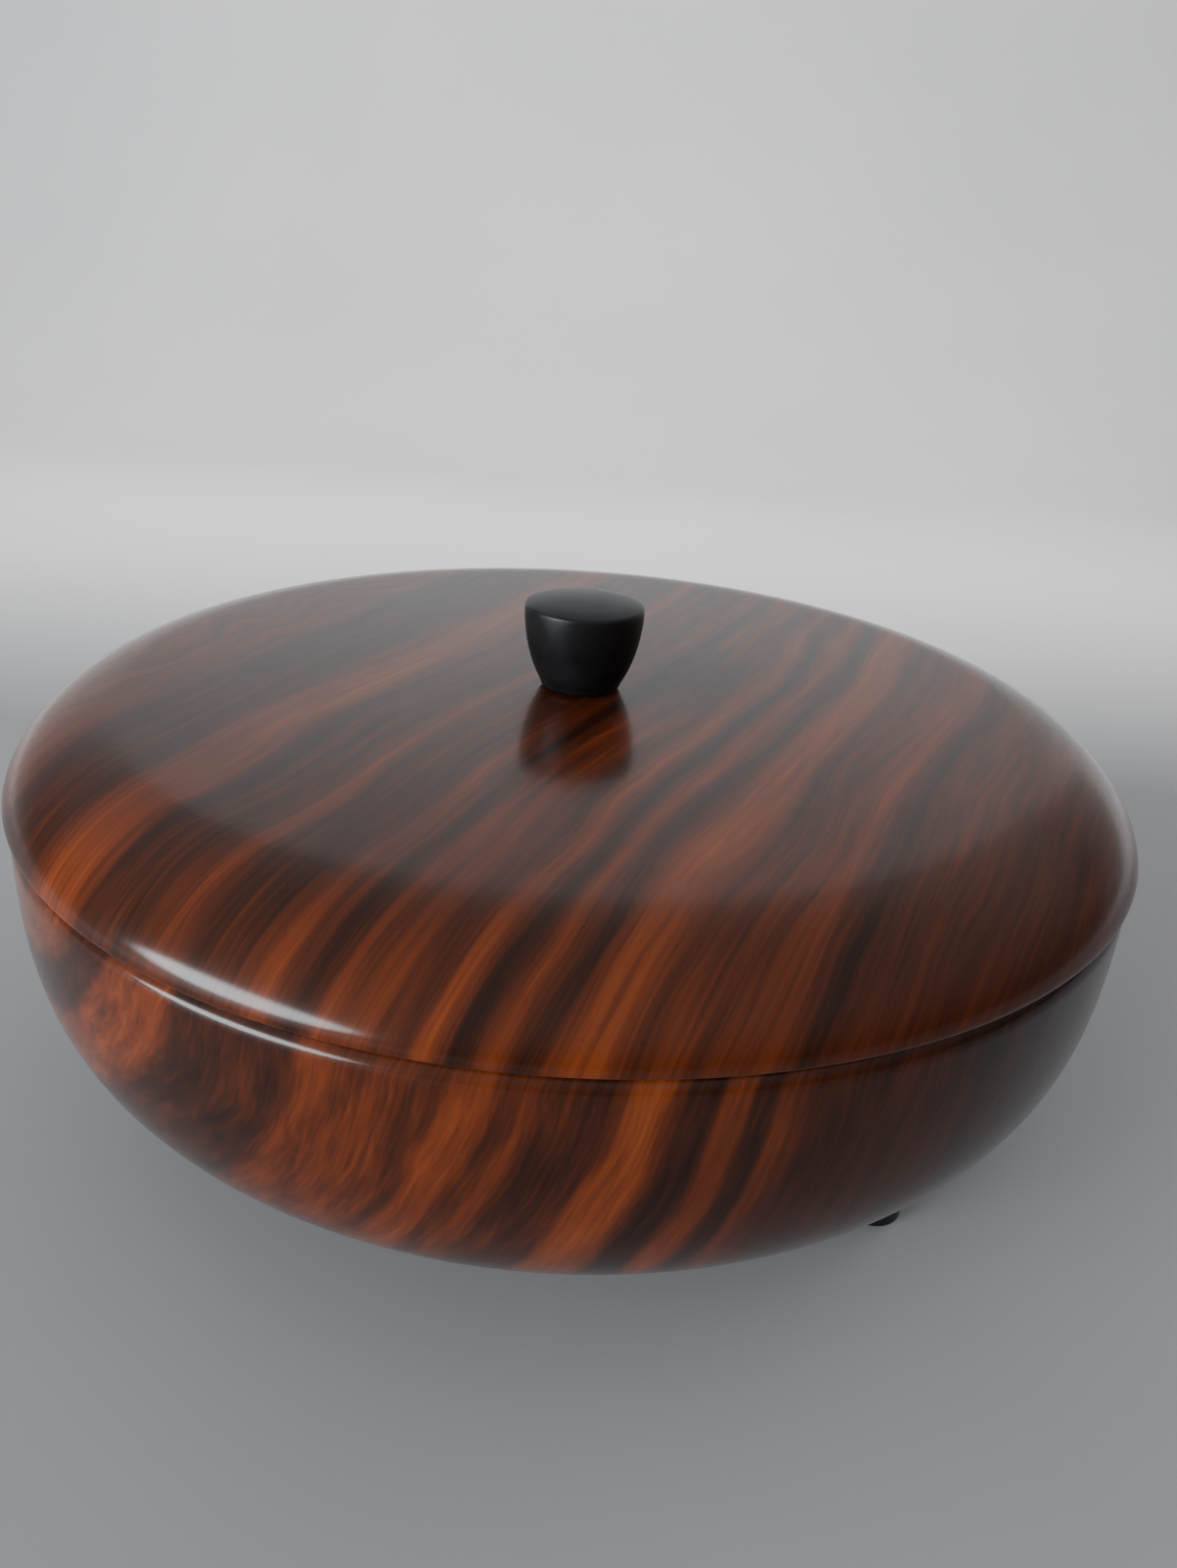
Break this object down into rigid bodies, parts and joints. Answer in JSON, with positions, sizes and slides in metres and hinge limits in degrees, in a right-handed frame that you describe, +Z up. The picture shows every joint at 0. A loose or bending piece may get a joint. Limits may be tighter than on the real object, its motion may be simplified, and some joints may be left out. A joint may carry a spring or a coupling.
{
  "type": "go stone bowl",
  "caption": "Round lidded wooden bowl with a boxy rounded section, a lid that drops inside the rim, a black cup-shaped knob and short black peg feet.",
  "frame": {"origin": "the point of the table under the bowl's centre", "axes": "+Z up through the knob; -Y is the front, with the first foot 53.5 degrees from it towards +X"},
  "size_m": [0.26, 0.26, 0.127],
  "materials": {
    "rosewood": "striped rosewood under clear satin-gloss lacquer",
    "satin_black": "satin black",
    "brass": "machined",
    "steel": "zinc plated",
    "felt": "dark grey felt"
  },
  "bodies": {
    "bowl": {"bowl_body": "rosewood", "foot_1": "satin_black", "foot_2": "satin_black", "foot_3": "satin_black", "foot_screw_1": "steel", "foot_screw_2": "steel", "foot_screw_3": "steel", "foot_pad_1": "felt", "foot_pad_2": "felt", "foot_pad_3": "felt"},
    "lid": {"lid": "rosewood", "knob": "satin_black", "knob_insert": "brass", "knob_washer": "steel", "knob_screw": "steel"}
  },
  "joints": [
    {"name": "lid_lift", "type": "slide", "parent": "bowl", "child": "lid", "axis": [0, 0, 1], "range_m": [0, 0.15]}
  ]
}
